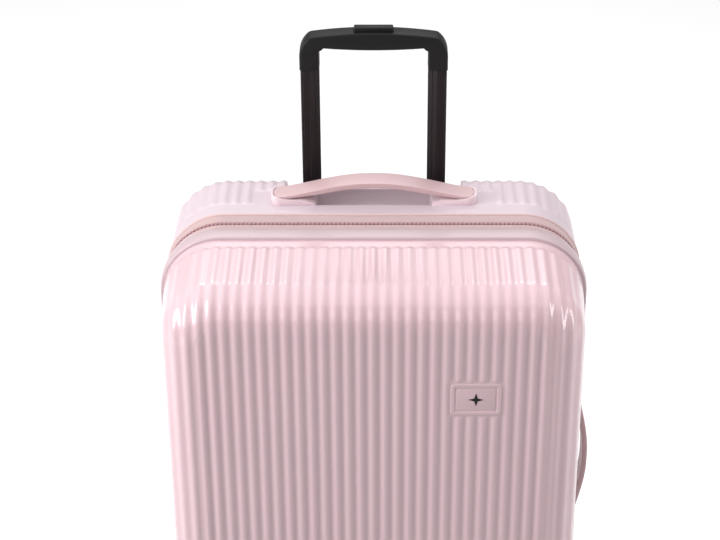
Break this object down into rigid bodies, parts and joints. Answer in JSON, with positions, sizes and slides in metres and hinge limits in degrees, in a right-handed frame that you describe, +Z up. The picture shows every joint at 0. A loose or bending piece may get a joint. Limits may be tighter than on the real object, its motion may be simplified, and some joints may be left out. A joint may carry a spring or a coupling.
{
  "type": "suitcase",
  "caption": "Hard shell spinner suitcase with telescopic handle, top and side carry handles, zip, combination lock and twin-wheel casters.",
  "frame": {"origin": "on the ground, under the middle of the object's box", "axes": "+X to the right seen from the front, +Y from the front face to the back, +Z up"},
  "size_m": [0.4884, 0.2841, 0.865],
  "materials": {
    "shell": "glossy ribbed polycarbonate, pale pink",
    "lining": "smooth polyester lining, mauve grey",
    "tape": "woven zip tape, pink",
    "teeth": "coil zip and folded gusset, dusky pink",
    "band": "satin moulded frame, lilac pink",
    "handle": "satin moulded plastic, pink",
    "black_plastic": "fine grained black plastic",
    "rail": "anodised, dark brownish black",
    "steel": "plated steel",
    "strap": "woven webbing",
    "dial": "pale number wheels",
    "hub": "pink wheel discs",
    "tyre": "soft dark tread"
  },
  "bodies": {
    "root": {"rear_shell": "shell", "rear_lining": "lining", "rear_zip_tape": "tape", "rear_zip_teeth": "teeth", "rear_piping": "band", "hinge_tape": "tape", "trolley_bezel": "black_plastic", "trolley_outer_tubes": "rail", "trolley_foot_bracket": "black_plastic", "top_handle_bases": "handle", "side_handle_bases": "handle", "handle_backing_plates": "steel", "lock_body": "handle", "rear_caster_housings": "handle", "rear_screws": "steel", "packing_straps": "strap", "strap_buckles": "black_plastic"},
    "zip_ring": {"front_zip_tape": "tape", "front_zip_teeth": "teeth", "expansion_zip": "teeth", "expansion_gusset": "teeth"},
    "front_half": {"front_shell": "shell", "front_band": "band", "front_lining": "lining", "divider_panel": "lining", "badge_plate": "shell", "badge_emblem": "black_plastic", "front_caster_housings": "handle", "front_screws": "steel"},
    "top_handle": {"top_handle_strap": "handle"},
    "side_handle": {"side_handle_strap": "handle"},
    "mid_stage": {"trolley_mid_tubes": "rail"},
    "upper_stage": {"trolley_upper_tubes": "rail", "trolley_grip": "black_plastic", "grip_cover": "black_plastic"},
    "button": {"grip_button": "black_plastic", "push_rods": "steel"},
    "upper_slider": {"upper_slider": "steel"},
    "upper_pull": {"upper_pull": "handle"},
    "lower_slider": {"lower_slider": "steel"},
    "lower_pull": {"lower_pull": "handle"},
    "expansion_slider": {"expansion_slider": "steel"},
    "expansion_pull": {"expansion_pull": "handle"},
    "dial_1": {"lock_dial_1": "dial"},
    "dial_2": {"lock_dial_2": "dial"},
    "dial_3": {"lock_dial_3": "dial"},
    "lock_button": {"lock_button": "handle"},
    "key_core": {"lock_key_core": "steel"},
    "caster_front_left": {"fork_front_left": "black_plastic"},
    "wheels_front_left": {"hubs_front_left": "hub", "tyres_front_left": "tyre"},
    "caster_front_right": {"fork_front_right": "black_plastic"},
    "wheels_front_right": {"hubs_front_right": "hub", "tyres_front_right": "tyre"},
    "caster_rear_left": {"fork_rear_left": "black_plastic"},
    "wheels_rear_left": {"hubs_rear_left": "hub", "tyres_rear_left": "tyre"},
    "caster_rear_right": {"fork_rear_right": "black_plastic"},
    "wheels_rear_right": {"hubs_rear_right": "hub", "tyres_rear_right": "tyre"}
  },
  "joints": [
    {"name": "front_open", "type": "hinge", "parent": "root", "child": "zip_ring", "pos_m": [-0.2457, 0.017, 0.365], "axis": [0, 0, -1], "range_deg": [0, 180], "deforming": ["hinge_tape"]},
    {"name": "expand", "type": "slide", "parent": "zip_ring", "child": "front_half", "axis": [0, -1, 0], "range_m": [0, 0.035], "deforming": ["expansion_gusset"]},
    {"name": "trolley_second_stage", "type": "slide", "parent": "root", "child": "mid_stage", "axis": [0, 0, 1], "range_m": [0, 0.18]},
    {"name": "trolley_first_stage", "type": "slide", "parent": "mid_stage", "child": "upper_stage", "axis": [0, 0, 1], "range_m": [-0.195, 0]},
    {"name": "grip_button_press", "type": "slide", "parent": "upper_stage", "child": "button", "axis": [0, 0, -1], "range_m": [0, 0.0045], "stiffness_N_per_m": 1500, "springref_m": -0.004},
    {"name": "top_handle_lift", "type": "slide", "parent": "root", "child": "top_handle", "axis": [0, 0, 1], "range_m": [0, 0.006], "stiffness_N_per_m": 400, "springref_m": -0.002},
    {"name": "side_handle_lift", "type": "slide", "parent": "root", "child": "side_handle", "axis": [1, 0, 0], "range_m": [0, 0.006], "stiffness_N_per_m": 400, "springref_m": -0.002},
    {"name": "swivel_front_left", "type": "hinge", "parent": "front_half", "child": "caster_front_left", "pos_m": [-0.1718, -0.08, 0.06], "axis": [0, 0, 1], "continuous": true},
    {"name": "roll_front_left", "type": "hinge", "parent": "caster_front_left", "child": "wheels_front_left", "pos_m": [-0.1718, -0.064, 0.022], "axis": [1, 0, 0], "continuous": true},
    {"name": "swivel_front_right", "type": "hinge", "parent": "front_half", "child": "caster_front_right", "pos_m": [0.1482, -0.08, 0.06], "axis": [0, 0, 1], "continuous": true},
    {"name": "roll_front_right", "type": "hinge", "parent": "caster_front_right", "child": "wheels_front_right", "pos_m": [0.1482, -0.064, 0.022], "axis": [1, 0, 0], "continuous": true},
    {"name": "swivel_rear_left", "type": "hinge", "parent": "root", "child": "caster_rear_left", "pos_m": [-0.1718, 0.08, 0.06], "axis": [0, 0, 1], "continuous": true},
    {"name": "roll_rear_left", "type": "hinge", "parent": "caster_rear_left", "child": "wheels_rear_left", "pos_m": [-0.1718, 0.096, 0.022], "axis": [1, 0, 0], "continuous": true},
    {"name": "swivel_rear_right", "type": "hinge", "parent": "root", "child": "caster_rear_right", "pos_m": [0.1482, 0.08, 0.06], "axis": [0, 0, 1], "continuous": true},
    {"name": "roll_rear_right", "type": "hinge", "parent": "caster_rear_right", "child": "wheels_rear_right", "pos_m": [0.1482, 0.096, 0.022], "axis": [1, 0, 0], "continuous": true},
    {"name": "dial_1_turn", "type": "hinge", "parent": "root", "child": "dial_1", "pos_m": [0.2167, 0.054, 0.49], "axis": [0, 0, 1], "continuous": true},
    {"name": "dial_2_turn", "type": "hinge", "parent": "root", "child": "dial_2", "pos_m": [0.2167, 0.054, 0.482], "axis": [0, 0, 1], "continuous": true},
    {"name": "dial_3_turn", "type": "hinge", "parent": "root", "child": "dial_3", "pos_m": [0.2167, 0.054, 0.474], "axis": [0, 0, 1], "continuous": true},
    {"name": "lock_button_press", "type": "slide", "parent": "root", "child": "lock_button", "axis": [-1, 0, 0], "range_m": [0, 0.002], "stiffness_N_per_m": 1500, "springref_m": -0.002},
    {"name": "key_turn", "type": "hinge", "parent": "root", "child": "key_core", "pos_m": [0.2206, 0.054, 0.5], "axis": [1, 0, 0], "range_deg": [0, 90]},
    {"name": "upper_slider_run", "type": "slide", "parent": "root", "child": "upper_slider", "axis": [0, 0, 1], "range_m": [0, 0.088]},
    {"name": "upper_pull_flip", "type": "hinge", "parent": "upper_slider", "child": "upper_pull", "pos_m": [0.2202, 0.0232, 0.51], "axis": [0, 0, -1], "range_deg": [0, 120]},
    {"name": "lower_slider_run", "type": "slide", "parent": "root", "child": "lower_slider", "axis": [0, 0, -1], "range_m": [0, 0.31]},
    {"name": "lower_pull_flip", "type": "hinge", "parent": "lower_slider", "child": "lower_pull", "pos_m": [0.2202, 0.0232, 0.454], "axis": [0, 0, -1], "range_deg": [0, 120]},
    {"name": "expansion_slider_run", "type": "slide", "parent": "zip_ring", "child": "expansion_slider", "axis": [0, 0, 1], "range_m": [-0.1, 0.34]},
    {"name": "expansion_pull_flip", "type": "hinge", "parent": "expansion_slider", "child": "expansion_pull", "pos_m": [0.2198, 0.0025, 0.244], "axis": [0, -1, 0], "range_deg": [0, 120]}
  ]
}
